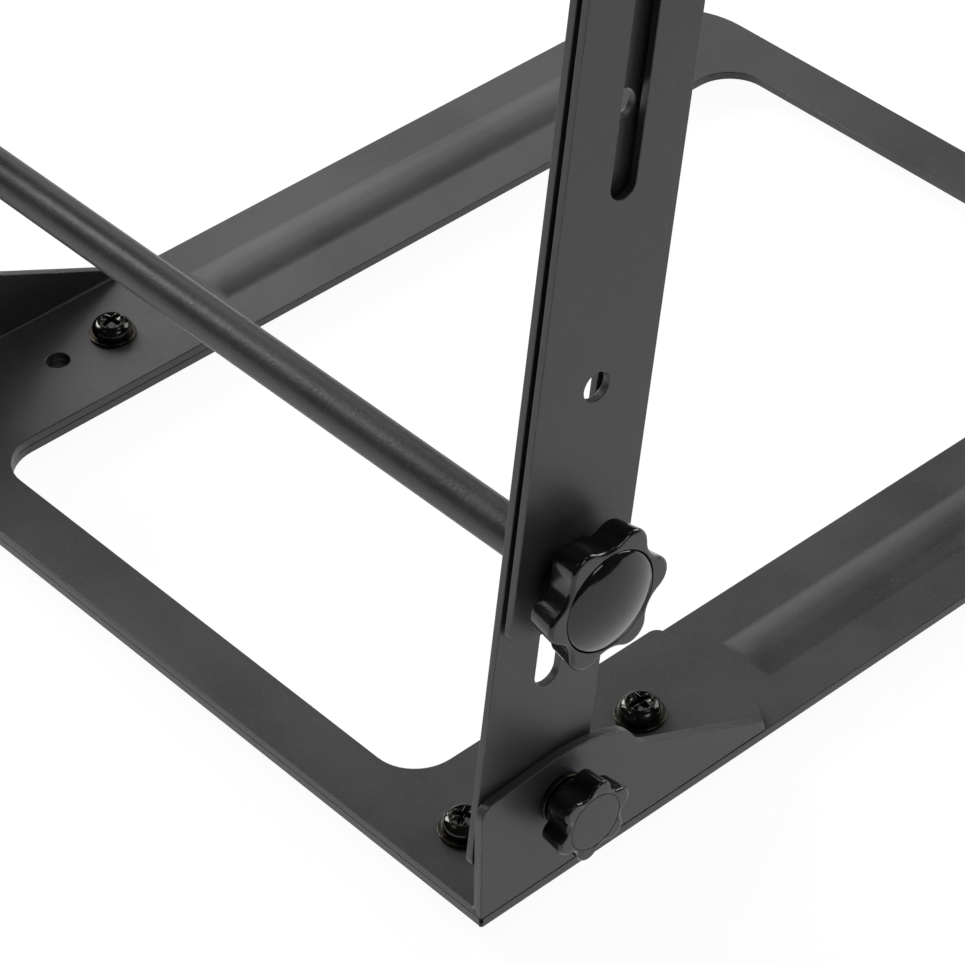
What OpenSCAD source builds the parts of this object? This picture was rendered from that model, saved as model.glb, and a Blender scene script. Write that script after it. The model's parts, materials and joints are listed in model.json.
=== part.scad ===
// Folding laptop stand in stamped sheet steel.
// A flat base ring carries a bent bracket with two ears. Two telescoping arms, tied by
// round cross tubes, pivot on the ears, and a tray in the same style pivots on the arms.
// X runs across the stand, Y from the hinge end to the user's end, Z up from the floor.
// The origin is on the floor, under the middle of the base.

/* [Base frame] */
// Width of the base across its side members
base_w = 250; // [230:1:280]
// Depth of the base from the hinge end to the user's end
base_d = 300; // [280:1:340]
// Thickness of the stamped frame sheet
sheet_t = 2.5; // [1.6:0.1:3]
// Width of each side member
side_w = 42.4; // [38:0.2:48]
// Width of the crossbar at the hinge end
hinge_bar_w = 16.2; // [12:0.2:22]
// Width of the crossbar at the user's end
far_bar_w = 16; // [12:0.5:22]
// Outer corner radius at the user's end
far_corner_r = 30; // [15:1:34]
// Outer corner radius at the hinge end
hinge_corner_r = 0.8; // [0.5:0.1:3]
// Corner radius of the window
window_r = 12; // [6:0.5:18]

/* [Pressed beads] */
// Width of a bead over its slopes
bead_w = 14.3; // [11:0.1:17]
// Width of one slope of a bead
bead_slope = 3.4; // [2.4:0.1:4.4]
// Height of a bead above the sheet
bead_h = 1.9; // [1:0.1:2.4]
// Distance of a bead's centre line from the outer edge
bead_inset = 20.9; // [18:0.1:23]
// Gap from the bracket's arm to the near end of a base bead
bead_gap = 6; // [3:0.5:12]
// Gap from the user's edge to the far end of a bead
bead_far_gap = 38; // [34:1:60]

/* [Feet and pads] */
// Diameter of a rubber foot at the floor
foot_d = 18; // [14:0.5:20]
// Height of a rubber foot
foot_h = 6; // [5.6:0.1:9]
// Distance of a rear foot from the user's edge
foot_rear_y = 18; // [14:0.5:22]
// Diameter of a tray pad
pad_d = 16; // [12:0.5:18]
// Height of a tray pad, above the beads
pad_h = 3; // [2.6:0.1:4]

/* [Hinge bracket] */
// Thickness of the bracket sheet
bracket_t = 2.5; // [2:0.1:3]
// Reach of the bracket's arms along the side members
bracket_d = 96; // [88:0.5:104]
// Radius at the end of a bracket arm
bracket_end_r = 22; // [18:0.5:26]
// Stretch of a bracket arm's end that the radius takes
bracket_end_run = 15; // [13:0.5:20]
// Inside radius of the bends
bend_r = 0.5; // [0.4:0.1:3]
// Height of an ear above the underside of the bracket, over the pivot
ear_h = 34.7; // [32:0.1:38]
// Slope of the ear's top from its nose to the pivot
ear_rise = 4; // [0:0.5:8]
// Lean of the ear's nose
ear_rake = 1.4; // [0:0.1:3]
// Radius of the ear's nose
ear_nose_r = 4; // [2:0.5:8]
// Radius of the ear's crown behind the pivot
ear_crown_r = 43; // [36:1:50]
// Turn of the crown down to the shoulder
ear_crown_turn = 25.5; // [20:0.5:32]
// Radius of the ear's shoulder
ear_shoulder_r = 10; // [7:0.5:13]
// Radius of the hollow behind the shoulder
ear_hollow_r = 8; // [5:0.5:12]
// Where the ear's tail runs out on the plate
ear_tail_l = 92; // [84:0.5:94]
// Slope of the ear's tail
ear_tail_angle = 25.4; // [20:0.2:28]
// Distance of the arm pivot from the hinge edge
pivot_y = 25; // [22:0.5:28]
// Height of the arm pivot above the underside of the bracket
pivot_h = 22.6; // [21:0.1:24]

/* [Arm bars] */
// Width of a bar
bar_w = 33.5; // [30:0.5:36]
// Thickness of a bar
bar_t = 2; // [1.6:0.1:2.4]
// Corner radius of a bar
bar_corner_r = 4; // [2:0.5:6]
// Distance of the end holes from the bar's ends
bar_end = 13.3; // [12:0.1:15]
// Offset of the pivot hole behind the bar's centre line
pivot_offset = 6.5; // [5:0.1:8]
// Diameter of the round holes
bar_hole_d = 7.2; // [6.8:0.1:7.8]
// Width of the slot
slot_w = 7.3; // [6.8:0.1:7.8]
// Distance from the pivot to the near end of the slot
slot_near = 35.8; // [32:0.2:40]
// Travel of a stud along the slot
slot_travel = 93; // [80:1:100]
// Distance from the pivot to the tube hole
tube_hole = 225.6; // [215:0.2:236]
// Distance from the tube hole back to the spare hole
spare_hole = 48; // [40:0.5:60]
// Lean of the arms at rest
arm_lean = 9.5; // [0:0.5:15]
// Height of the lower studs above the bottom of the slots
arm_raise = 28.3; // [24:0.1:40]

/* [Cross tubes and washers] */
// Outer diameter of the cross tubes
tube_d = 10.8; // [10:0.1:12]
// Wall of the cross tubes
tube_wall = 1.2; // [1:0.1:1.6]
// Length of the threaded plug in each tube end
plug_l = 18; // [14:0.5:24]
// Thickness of the washer between the two bars of an arm
slide_washer_t = 1.3; // [0.8:0.1:2]
// Diameter of the washer between the two bars
slide_washer_d = 15; // [12:0.5:17]
// Thickness of the shim in a pivot
shim_t = 0.4; // [0.3:0.1:0.8]
// Diameter of the shim in a pivot
shim_d = 13; // [11:0.5:14]

/* [Screws] */
// Diameter of the studs, bolts and base screws
stud_d = 6; // [5.6:0.1:6.2]
// Diameter of the clearance holes in the sheets
clear_hole_d = 6.5; // [6.4:0.1:6.8]
// Diameter of a pan head
pan_d = 10.4; // [9:0.1:11]
// Height of a pan head
pan_h = 3.9; // [3:0.1:4.4]
// Diameter of a base washer
washer_d = 12.8; // [11.5:0.1:13.4]
// Thickness of a base washer
washer_t = 1; // [0.6:0.1:1.6]
// Width of a base nut across its flats
nut_af = 10; // [9:0.1:11]
// Height of a base nut
nut_h = 4.6; // [3.6:0.1:5]
// Distance of the front screws from the hinge edge
screw_front_y = 15; // [14:0.5:16]
// Distance of the rear screws from the hinge edge
screw_rear_y = 71; // [68:0.5:76]
// Distance of the screws from the outer edge
screw_inset = 22.3; // [21:0.1:24]
// Distance of the fixing holes from the hinge edge
fix_hole_y = 53.4; // [51:0.2:56]
// Distance of the fixing holes from the outer edge
fix_hole_inset = 21.2; // [18:0.1:24]
// Diameter of a tray screw
tray_screw_d = 5; // [4.6:0.1:5.2]
// Diameter of the countersunk head of a tray screw
tray_head_d = 9.4; // [8.6:0.1:10]
// Width of a tray nut across its flats
tray_nut_af = 8; // [7.6:0.1:9]
// Height of a tray nut
tray_nut_h = 4; // [3:0.1:5]
// Diameter of a pivot bolt's round head
bolt_head_d = 13; // [11:0.5:14]
// Height of a pivot bolt's round head
bolt_head_h = 3.2; // [2.4:0.1:4]

/* [Clamp knobs] */
// Number of lobes on every knob
lobes = 6; // [5:1:8]
// Diameter of a clamp knob over its lobes
clamp_d = 34.8; // [30:0.2:36]
// Diameter of a clamp knob between its lobes
clamp_waist_d = 28; // [26:0.2:29]
// Radius of a clamp knob's lobe
clamp_lobe_r = 4.6; // [4.2:0.1:5]
// Taper of a clamp knob's head towards its hub, on the radius
clamp_draft = 1; // [0.2:0.1:1.6]
// Length of the clamp knob's hub
clamp_hub_l = 4.1; // [3:0.1:6]
// Diameter of the clamp knob's hub
clamp_hub_d = 19; // [15:0.5:22]
// Thickness of the clamp knob's head
clamp_head_t = 8; // [7:0.1:10]
// Diameter of the clamp knob's domed cap
clamp_cap_d = 25.2; // [22:0.2:26]
// Height of the dome above the knob's face
clamp_dome_h = 3.6; // [2:0.1:5]
// Turn of the lower clamp knobs
clamp_turn = 7.5; // [0:0.5:60]

/* [Pivot knobs] */
// Diameter of a pivot knob over its lobes
pivot_knob_d = 21.8; // [20:0.2:24]
// Diameter of a pivot knob between its lobes
pivot_waist_d = 16.8; // [16:0.2:18]
// Radius of a pivot knob's lobe
pivot_lobe_r = 2.9; // [2.7:0.1:3.2]
// Taper of a pivot knob's head towards its hub, on the radius
pivot_draft = 0.5; // [0.1:0.1:1]
// Length of the pivot knob's hub
pivot_hub_l = 2.9; // [2:0.1:5]
// Diameter of the pivot knob's hub
pivot_hub_d = 12; // [11:0.5:15]
// Thickness of the pivot knob's head
pivot_head_t = 7; // [6:0.1:9]
// Diameter of the pivot knob's flat cap
pivot_cap_d = 14.6; // [13:0.2:15.8]
// Diameter of the washer under a pivot knob
knob_washer_d = 13; // [12:0.1:14]
// Thickness of the washer under a pivot knob
knob_washer_t = 1.5; // [1:0.1:2]
// Turn of the base pivot knobs
pivot_turn = 14; // [0:0.5:60]

/* [Tray] */
// Reach of the tray from its pivot to the free edge
tray_reach = 225; // [210:1:230]
// Depth of the tray behind its pivot
tray_back = 13; // [12.5:0.5:16]
// Gap between the closed tray and the edges of the arms
tray_stop_gap = 0.4; // [0.3:0.1:2]
// Slope of the tray at rest, down to the user
tray_slope = 12; // [0:0.5:20]
// Reach of the tray bracket's arms
tray_bracket_d = 72; // [66:0.5:80]
// Radius of a tray ear round its pivot
tray_ear_r = 11.5; // [10.5:0.1:12.3]
// Distance from the pivot at which a tray ear's tail runs out
tray_ear_l = 38; // [32:0.5:41]
// Width of a lip at the free edge
lip_w = 32; // [24:1:40]
// Height of a lip above the tray
lip_h = 9.5; // [6:0.5:9.5]
// Distance of a lip's centre from the middle
lip_x = 52; // [40:1:58]
// Gap between a tray bead and the bracket's arm
tray_bead_gap = 6; // [3:0.5:12]

/* [Hidden] */
$fn = 72;

// Colours of the finishes
coat = [0.07, 0.07, 0.075];
tube_coat = [0.09, 0.09, 0.095];
knob_black = [0.02, 0.02, 0.02];
dark_steel = [0.12, 0.11, 0.10];
zinc = [0.55, 0.55, 0.56];
nylon = [0.16, 0.16, 0.17];
rubber = [0.05, 0.05, 0.05];

// Running gap between faces that slide on each other
slip = 0.1;
// Radial gap of a pivot bolt in its holes
pivot_gap = 0.1;
// Radial gap of a stud in a threaded plug or insert
thread_gap = 0.05;
// Radial gap of a piece pressed into its seat
press_gap = 0.03;
// Overrun of every cut past the face that it opens
over = 1;
// Wall of a brass insert and of a plug round its stud
insert_wall = 1.6;
// Rounding of a knob's edges
knob_edge_r = 0.9;
// Depth of a cap's seat in its knob
cap_seat = 1.4;
// Gap round a cap in its seat
cap_gap = 0.12;
// Wall between a cap's seat and the blind bore behind it
knob_web = 1;
// Radius at the inner end of a bracket's arm
arm_tip_r = 3;
// Rounding of a pan head's edge
pan_edge_r = 2.2;
// Length, width and depth of the cross in a base screw's head
cross_l = 6.2;
cross_w = 1.5;
cross_depth = 2;
// Length, width and depth of the cross in a tray screw's head
tray_cross_l = 5;
tray_cross_w = 1.1;
tray_cross_depth = 1.8;
// Height of the straight rim of a countersunk head
head_rim = 0.4;
// Steps along a bead's slope and along an arc of an ear
slope_steps = 8;
arc_steps = 10;
// Taper of a foot and of a pad from root to tip
foot_taper = 1.5;
pad_taper = 0.8;

// Diameter of the holes that the pivot bolts pass through
pivot_hole_d = stud_d + 2 * pivot_gap;

// Heights on the base
frame_z = foot_h;
bracket_z = frame_z + sheet_t;
plate_top = bracket_z + bracket_t;
hinge_edge = -base_d / 2;
arm_pivot = [0, hinge_edge + pivot_y, bracket_z + pivot_h];

// Faces across the right side, from the ear inwards and outwards
ear_in = base_w / 2 - bracket_t;
lower_out = ear_in - shim_t - slip;
lower_in = lower_out - bar_t;
upper_in = lower_out + slide_washer_t + slip;
upper_out = upper_in + bar_t;
tray_half = upper_in - shim_t - slip;
tray_in = tray_half - bracket_t;

// Places along an arm, from the base pivot
stud_z = slot_near + arm_raise;
tray_pivot_z = stud_z + tube_hole;
bar_l = bar_end + tube_hole + bar_end;

// The tray in its own frame: Y from the pivot to the free edge, Z away from the arms
tray_drop = bar_w / 2 - pivot_offset + tray_stop_gap;
tray_plate_z = tray_drop + bracket_t;
tray_top_z = tray_plate_z + sheet_t;
tray_d = tray_back + tray_reach;
tray_w = 2 * tray_half;
tray_screw_x = tray_half - screw_inset;
tray_screw_rear_y = 0;
tray_screw_front_y = tray_bracket_d - tray_back - tray_head_d;
tray_pad_rear_y = (tray_screw_rear_y + tray_screw_front_y) / 2;
tray_pad_front_y = tray_reach - (bead_far_gap + pad_d / 2) / 2;

// Places on the base
screw_x = base_w / 2 - screw_inset;
fix_hole_x = base_w / 2 - fix_hole_inset;
bead_x = base_w / 2 - bead_inset;
foot_x = bead_x;

// Radius of a circle that joins two lobes of a star and touches its waist
function flute_r(n, tip, waist, lobe) =
    let (c = tip - lobe, k = cos(180 / n))
    (c * c + waist * waist - 2 * c * waist * k - lobe * lobe) / (2 * (lobe + c * k - waist));

// Distance of the point where lobe and flute meet from the middle of the star
function meet_r(n, tip, waist, lobe) =
    let (c = tip - lobe, f = flute_r(n, tip, waist, lobe), share = lobe / (lobe + f))
    norm([c + share * ((waist + f) * cos(180 / n) - c), share * (waist + f) * sin(180 / n)]);

// Points of an arc about a centre
function arc(centre, r, from, to) =
    [for (i = [0:arc_steps]) let (a = from + (to - from) * i / arc_steps)
        centre + r * [cos(a), sin(a)]];

// Centre of the circle of radius r that touches a line and, from outside, a round shoulder
function hollow_centre(shoulder, shoulder_r, line_point, slope, r) =
    let (along = [-cos(slope), sin(slope)],
         start = line_point + r * [sin(slope), cos(slope)] - shoulder,
         half = start * along,
         reach = shoulder_r + r)
    shoulder + start + along * (-half - sqrt(half * half - start * start + reach * reach));

// Height of a bead at a distance from its centre line
function bead_rise(x) =
    let (t = min(1, max(0, (bead_w / 2 - x) / bead_slope)))
    bead_h * t * t * (3 - 2 * t);

// Side view of a base ear: Y from the hinge edge, Z up from the underside of the bracket
function base_ear_outline() =
    let (crown = [pivot_y, ear_h - ear_crown_r],
         shoulder = crown + (ear_crown_r - ear_shoulder_r)
             * [sin(ear_crown_turn), cos(ear_crown_turn)],
         start = crown + ear_crown_r * [-sin(ear_rise), cos(ear_rise)],
         nose_y = ear_rake + ear_nose_r,
         nose = [nose_y, start[1] - (start[0] - nose_y) * tan(ear_rise)
             - ear_nose_r / cos(ear_rise)],
         tail = [ear_tail_l, bracket_t],
         end_y = max(bracket_d, ear_tail_l) + over,
         hollow = hollow_centre(shoulder, ear_shoulder_r, tail, ear_tail_angle, ear_hollow_r),
         link = hollow - shoulder,
         lean = atan2(link[1], link[0]))
    concat(
        [[0, 0]],
        arc(nose, ear_nose_r, 180, 90 + ear_rise),
        arc(crown, ear_crown_r, 90 + ear_rise, 90 - ear_crown_turn),
        arc(shoulder, ear_shoulder_r, 90 - ear_crown_turn, lean),
        arc(hollow, ear_hollow_r, lean + 180, 270 - ear_tail_angle),
        [tail, [end_y, bracket_t], [end_y, 0]]
    );

// Side view of a tray ear: Y from the tray's back edge, Z from the bracket's outer face
function tray_ear_outline() =
    let (hub = [tray_back, tray_drop + bracket_t],
         root = [tray_back + tray_ear_l, bracket_t],
         end_y = max(tray_bracket_d, tray_back + tray_ear_l) + over,
         run = root - hub,
         reach = norm(run),
         lean = atan2(run[1], run[0]) + acos(tray_ear_r / reach))
    concat(
        [[0, 0], [0, bracket_t], [tray_back - tray_ear_r, bracket_t]],
        arc(hub, tray_ear_r, 180, lean),
        [root, [end_y, bracket_t], [end_y, 0]]
    );

module both_sides() {
    children();
    mirror([1, 0, 0]) children();
}

module rounded_rect(w, d, r) {
    translate([-w / 2 + r, -d / 2]) square([w - 2 * r, d]);
    translate([-w / 2, -d / 2 + r]) square([w, d - 2 * r]);
    for (x = [-1, 1], y = [-1, 1])
        translate([x * (w / 2 - r), y * (d / 2 - r)]) circle(r = r);
}

// What a corner of radius r loses, with the corner towards +X and +Y
module corner_waste(r) {
    difference() {
        square(r + over);
        circle(r = r);
    }
}

module bead_half_section(drop) {
    polygon(concat(
        [[0, -drop - over], [0, bead_h - drop]],
        [for (i = [0:slope_steps])
            let (x = bead_w / 2 - bead_slope * (1 - i / slope_steps))
            [x, bead_rise(x) - drop]],
        [[bead_w / 2, -drop - over]]
    ));
}

// A bead between two end centres on the Y axis, lowered by drop
module bead_solid(from, to, drop) {
    translate([0, to, 0]) rotate([90, 0, 0]) linear_extrude(height = to - from) {
        bead_half_section(drop);
        mirror([1, 0]) bead_half_section(drop);
    }
    for (y = [from, to])
        translate([0, y, 0]) rotate_extrude() bead_half_section(drop);
}

// A flat ring with a pressed bead in each side member, its hinge edge on Y = 0
module stamped_ring(w, d, bead_from) {
    bead_to = d - bead_far_gap - bead_w / 2;
    difference() {
        union() {
            linear_extrude(height = sheet_t) difference() {
                translate([-w / 2, 0]) square([w, d]);
                for (x = [0, 1]) mirror([x, 0]) {
                    translate([w / 2 - far_corner_r, d - far_corner_r])
                        corner_waste(far_corner_r);
                    translate([w / 2 - hinge_corner_r, hinge_corner_r])
                        mirror([0, 1]) corner_waste(hinge_corner_r);
                }
                translate([0, hinge_bar_w + (d - hinge_bar_w - far_bar_w) / 2])
                    rounded_rect(w - 2 * side_w, d - hinge_bar_w - far_bar_w, window_r);
            }
            intersection() {
                both_sides() translate([w / 2 - bead_inset, 0, sheet_t])
                    bead_solid(bead_from, bead_to, 0);
                translate([-w / 2, 0, sheet_t / 2]) cube([w, d, sheet_t + bead_h]);
            }
        }
        both_sides() translate([w / 2 - bead_inset, 0, sheet_t])
            bead_solid(bead_from, bead_to, sheet_t);
    }
}

// Section of a sheet that is bent up at its right edge
module bend_section(half, height) {
    turn = bend_r + bracket_t;
    square([half - turn, bracket_t]);
    translate([half - turn, turn]) intersection() {
        difference() {
            circle(r = turn);
            circle(r = bend_r);
        }
        translate([0, -turn]) square(turn);
    }
    translate([half - bracket_t, turn]) square([bracket_t, height - turn]);
}

// A U-shaped plate, open towards +Y, whose outer edges are bent up into ears
module eared_bracket(half, depth, height, outline) {
    intersection() {
        both_sides() translate([0, depth, 0]) rotate([90, 0, 0])
            linear_extrude(height = depth) bend_section(half, height);
        translate([-half, 0, 0]) rotate([90, 0, 90])
            linear_extrude(height = 2 * half) polygon(outline);
        linear_extrude(height = height) difference() {
            translate([-half, 0]) square([2 * half, depth]);
            translate([0, hinge_bar_w + depth / 2])
                rounded_rect(2 * (half - side_w), depth, window_r);
            translate([side_w - half, depth - arm_tip_r])
                square([2 * (half - side_w), arm_tip_r]);
            for (x = [0, 1]) mirror([x, 0]) {
                translate([half - bracket_end_run, depth - bracket_end_r])
                    corner_waste(bracket_end_r);
                translate([half - side_w + arm_tip_r, depth - arm_tip_r])
                    mirror([1, 0]) corner_waste(arm_tip_r);
            }
        }
    }
}

// Where the base screws sit, on the underside of the bracket
module at_base_screws() {
    for (x = [-screw_x, screw_x], y = [screw_front_y, screw_rear_y])
        translate([x, hinge_edge + y, bracket_z]) children();
}

// The screw and fixing holes through both base sheets
module base_holes() {
    at_base_screws() cylinder(d = clear_hole_d, h = 2 * (over + bracket_t + sheet_t), center = true);
    for (x = [-fix_hole_x, fix_hole_x])
        translate([x, hinge_edge + fix_hole_y, frame_z - over])
            cylinder(d = clear_hole_d, h = sheet_t + bracket_t + 2 * over);
}

module base_frame() {
    color(coat) difference() {
        translate([0, hinge_edge, frame_z])
            stamped_ring(base_w, base_d, bracket_d + bead_gap + bead_w / 2);
        base_holes();
    }
}

module base_bracket() {
    color(coat) difference() {
        translate([0, hinge_edge, bracket_z])
            eared_bracket(base_w / 2, bracket_d, ear_h, base_ear_outline());
        base_holes();
        both_sides() translate(arm_pivot + [ear_in - over, 0, 0])
            rotate([0, 90, 0]) cylinder(d = pivot_hole_d, h = bracket_t + 2 * over);
    }
}

// A pan head screw pointing down, with its bearing face on Z = 0
module pan_screw(grip) {
    translate([0, 0, -grip]) cylinder(d = stud_d, h = grip);
    difference() {
        rotate_extrude() {
            square([pan_d / 2 - pan_edge_r, pan_h]);
            square([pan_d / 2, pan_h - pan_edge_r]);
            translate([pan_d / 2 - pan_edge_r, pan_h - pan_edge_r]) intersection() {
                circle(r = pan_edge_r);
                square(pan_edge_r);
            }
        }
        for (turn = [0, 90]) rotate(turn)
            translate([-cross_l / 2, -cross_w / 2, pan_h - cross_depth])
                cube([cross_l, cross_w, cross_depth + over]);
    }
}

module base_screws() {
    color(dark_steel) at_base_screws() translate([0, 0, bracket_t + washer_t])
        pan_screw(washer_t + bracket_t + sheet_t + nut_h);
}

module base_washers() {
    color(dark_steel) at_base_screws() translate([0, 0, bracket_t]) difference() {
        cylinder(d = washer_d, h = washer_t);
        translate([0, 0, -over]) cylinder(d = clear_hole_d, h = washer_t + 2 * over);
    }
}

// A hexagon nut under Z = 0 for a thread of diameter thread
module nut(flats, height, thread) {
    translate([0, 0, -height]) difference() {
        cylinder(r = flats / 2 / cos(30), h = height, $fn = 6);
        translate([0, 0, -over])
            cylinder(d = thread + 2 * thread_gap, h = height + 2 * over);
    }
}

module base_nuts() {
    color(zinc) at_base_screws() translate([0, 0, -sheet_t]) nut(nut_af, nut_h, stud_d);
}

// A round rubber foot, its tip on Z = 0
module foot() {
    cylinder(d1 = foot_d - foot_taper, d2 = foot_d, h = foot_h);
}

// The rear feet are plain; the front ones sit under the fixing holes and share their bore
module base_feet() {
    color(rubber) {
        for (x = [-foot_x, foot_x])
            translate([x, hinge_edge + base_d - foot_rear_y, 0]) foot();
        for (x = [-fix_hole_x, fix_hole_x])
            translate([x, hinge_edge + fix_hole_y, 0]) difference() {
                foot();
                translate([0, 0, -over]) cylinder(d = clear_hole_d, h = foot_h + 2 * over);
            }
    }
}

// A round washer along X, from x = 0 outwards
module side_washer(outer, wall) {
    rotate([0, 90, 0]) difference() {
        cylinder(d = outer, h = wall);
        translate([0, 0, -over]) cylinder(d = pivot_hole_d, h = wall + 2 * over);
    }
}

// A round-headed pivot bolt along X, with its bearing face on x = 0 and its head inwards
module pivot_bolt(grip) {
    crown = (bolt_head_d * bolt_head_d / 4 + bolt_head_h * bolt_head_h) / (2 * bolt_head_h);
    rotate([0, 90, 0]) {
        cylinder(d = stud_d, h = grip);
        intersection() {
            translate([0, 0, crown - bolt_head_h]) sphere(r = crown);
            translate([0, 0, -bolt_head_h]) cylinder(d = bolt_head_d, h = bolt_head_h);
        }
    }
}

module on_arm(along = 0) {
    translate(arm_pivot) rotate([-arm_lean, 0, 0]) translate([0, 0, along]) children();
}

// One bar of the right side, pivot hole at the origin and tube hole above it
module bar() {
    rotate([90, 0, 90]) linear_extrude(height = bar_t) difference() {
        translate([-pivot_offset, bar_l / 2 - bar_end])
            rounded_rect(bar_w, bar_l, bar_corner_r);
        circle(d = pivot_hole_d);
        translate([-pivot_offset, 0]) {
            for (z = [tube_hole - spare_hole, tube_hole])
                translate([0, z]) circle(d = bar_hole_d);
            for (z = [slot_near, slot_near + slot_travel])
                translate([0, z]) circle(d = slot_w);
            translate([-slot_w / 2, slot_near]) square([slot_w, slot_travel]);
        }
    }
}

module lower_bar_right() {
    color(coat) on_arm() translate([lower_in, 0, 0]) bar();
}

module lower_bar_left() {
    mirror([1, 0, 0]) lower_bar_right();
}

// The upper bar is the same bar with its pivot hole at the top
module upper_bar_right() {
    color(coat) on_arm(tray_pivot_z) translate([upper_in, 0, 0])
        mirror([0, 0, 1]) bar();
}

module upper_bar_left() {
    mirror([1, 0, 0]) upper_bar_right();
}

// A cross tube between the lower bars' inner faces, centred on the bars' centre line
module cross_tube() {
    translate([slip - lower_in, -pivot_offset, 0]) rotate([0, 90, 0]) difference() {
        cylinder(d = tube_d, h = 2 * (lower_in - slip));
        translate([0, 0, -over])
            cylinder(d = tube_d - 2 * tube_wall, h = 2 * (lower_in - slip + over));
    }
}

module tube_plugs() {
    both_sides() translate([lower_in - slip - plug_l, -pivot_offset, 0])
        rotate([0, 90, 0]) difference() {
            cylinder(d = tube_d - 2 * (tube_wall + press_gap), h = plug_l);
            translate([0, 0, -over])
                cylinder(d = stud_d + 2 * thread_gap, h = plug_l + 2 * over);
        }
}

module lower_tube() {
    color(tube_coat) on_arm(stud_z) cross_tube();
}

module lower_tube_plugs() {
    color(zinc) on_arm(stud_z) tube_plugs();
}

module upper_tube() {
    color(tube_coat) on_arm(tube_hole) cross_tube();
}

module upper_tube_plugs() {
    color(zinc) on_arm(tube_hole) tube_plugs();
}

// The nylon washers that keep the two bars of an arm apart
module lower_slide_washers() {
    color(nylon) both_sides() on_arm(stud_z)
        translate([upper_in - slide_washer_t, -pivot_offset, 0])
            side_washer(slide_washer_d, slide_washer_t);
}

module upper_slide_washers() {
    color(nylon) both_sides() on_arm(tube_hole)
        translate([lower_out, -pivot_offset, 0])
            side_washer(slide_washer_d, slide_washer_t);
}

module base_pivot_bolts() {
    color(zinc) both_sides() on_arm() translate([lower_in, 0, 0])
        pivot_bolt(base_w / 2 + knob_washer_t + pivot_hub_l + pivot_head_t / 2 - lower_in);
}

module base_pivot_shims() {
    color(nylon) both_sides() on_arm() translate([lower_out, 0, 0])
        side_washer(shim_d, shim_t);
}

module base_pivot_washers() {
    color(dark_steel) both_sides() on_arm() translate([base_w / 2, 0, 0])
        side_washer(knob_washer_d, knob_washer_t);
}

module tray_pivot_bolts() {
    color(zinc) both_sides() on_arm(tray_pivot_z) translate([tray_in, 0, 0])
        pivot_bolt(upper_out + knob_washer_t + pivot_hub_l + pivot_head_t / 2 - tray_in);
}

module tray_pivot_shims() {
    color(nylon) both_sides() on_arm(tray_pivot_z) translate([tray_half, 0, 0])
        side_washer(shim_d, shim_t);
}

module tray_pivot_washers() {
    color(dark_steel) both_sides() on_arm(tray_pivot_z) translate([upper_out, 0, 0])
        side_washer(knob_washer_d, knob_washer_t);
}

// Outline of a star knob: round lobes joined by round flutes
module star(tip, waist, lobe) {
    flute = flute_r(lobes, tip, waist, lobe);
    difference() {
        union() {
            circle(r = meet_r(lobes, tip, waist, lobe));
            for (i = [1:lobes]) rotate(i * 360 / lobes)
                translate([tip - lobe, 0]) circle(r = lobe);
        }
        for (i = [1:lobes]) rotate((i + 1 / 2) * 360 / lobes)
            translate([waist + flute, 0]) circle(r = flute);
    }
}

// A knob's body along Z: a hub, then a star-shaped head with a seat for the cap
module knob_body(tip, waist, lobe, draft, hub_d, hub_l, head_t, cap_d, bore_d, bore_end) {
    difference() {
        union() {
            cylinder(d = hub_d, h = hub_l + head_t / 2);
            translate([0, 0, hub_l]) intersection() {
                linear_extrude(height = head_t) star(tip, waist, lobe);
                rotate_extrude() {
                    square([tip - draft - knob_edge_r, head_t]);
                    polygon([
                        [0, knob_edge_r],
                        [tip - draft, knob_edge_r],
                        [tip, head_t - knob_edge_r],
                        [tip - knob_edge_r, head_t],
                        [0, head_t]
                    ]);
                    translate([tip - draft - knob_edge_r, knob_edge_r])
                        circle(r = knob_edge_r);
                    translate([tip - knob_edge_r, head_t - knob_edge_r])
                        circle(r = knob_edge_r);
                }
            }
        }
        translate([0, 0, hub_l + head_t - cap_seat])
            cylinder(d = cap_d + 2 * cap_gap, h = cap_seat + over);
        translate([0, 0, -over]) cylinder(d = bore_d, h = bore_end + over);
    }
}

// A cap in its seat: a disc with a rise above the knob's face, domed where rise > 0
module knob_cap(face, cap_d, rise) {
    translate([0, 0, face - cap_seat]) cylinder(d = cap_d, h = cap_seat);
    if (rise > 0) {
        crown = (cap_d * cap_d / 4 + rise * rise) / (2 * rise);
        translate([0, 0, face]) intersection() {
            translate([0, 0, rise - crown]) sphere(r = crown);
            cylinder(d = cap_d, h = rise);
        }
    }
}

// Sizes along a knob that its pieces share
clamp_face = clamp_hub_l + clamp_head_t;
clamp_bore_end = clamp_face - cap_seat - knob_web;
pivot_face = pivot_hub_l + pivot_head_t;
pivot_bore_end = pivot_face - cap_seat - knob_web;

// A clamp knob at a height along the arm, on the outer face of the upper bar
module at_clamp(along, turn) {
    on_arm(along) translate([upper_out + slip, -pivot_offset, 0])
        rotate([0, 90, 0]) rotate(turn + 90) children();
}

// A pivot knob at a height along the arm, with its hub on a face across the side
module at_pivot_knob(along, seat, turn) {
    on_arm(along) translate([seat + knob_washer_t + slip, 0, 0])
        rotate([0, 90, 0]) rotate(turn + 90) children();
}

module clamp_knob(along, turn) {
    color(knob_black) at_clamp(along, turn)
        knob_body(clamp_d / 2, clamp_waist_d / 2, clamp_lobe_r, clamp_draft,
            clamp_hub_d, clamp_hub_l, clamp_head_t, clamp_cap_d, stud_d + 2 * press_gap, clamp_bore_end);
}

module clamp_cap(along, turn) {
    color(knob_black) at_clamp(along, turn) knob_cap(clamp_face, clamp_cap_d, clamp_dome_h);
}

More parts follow.
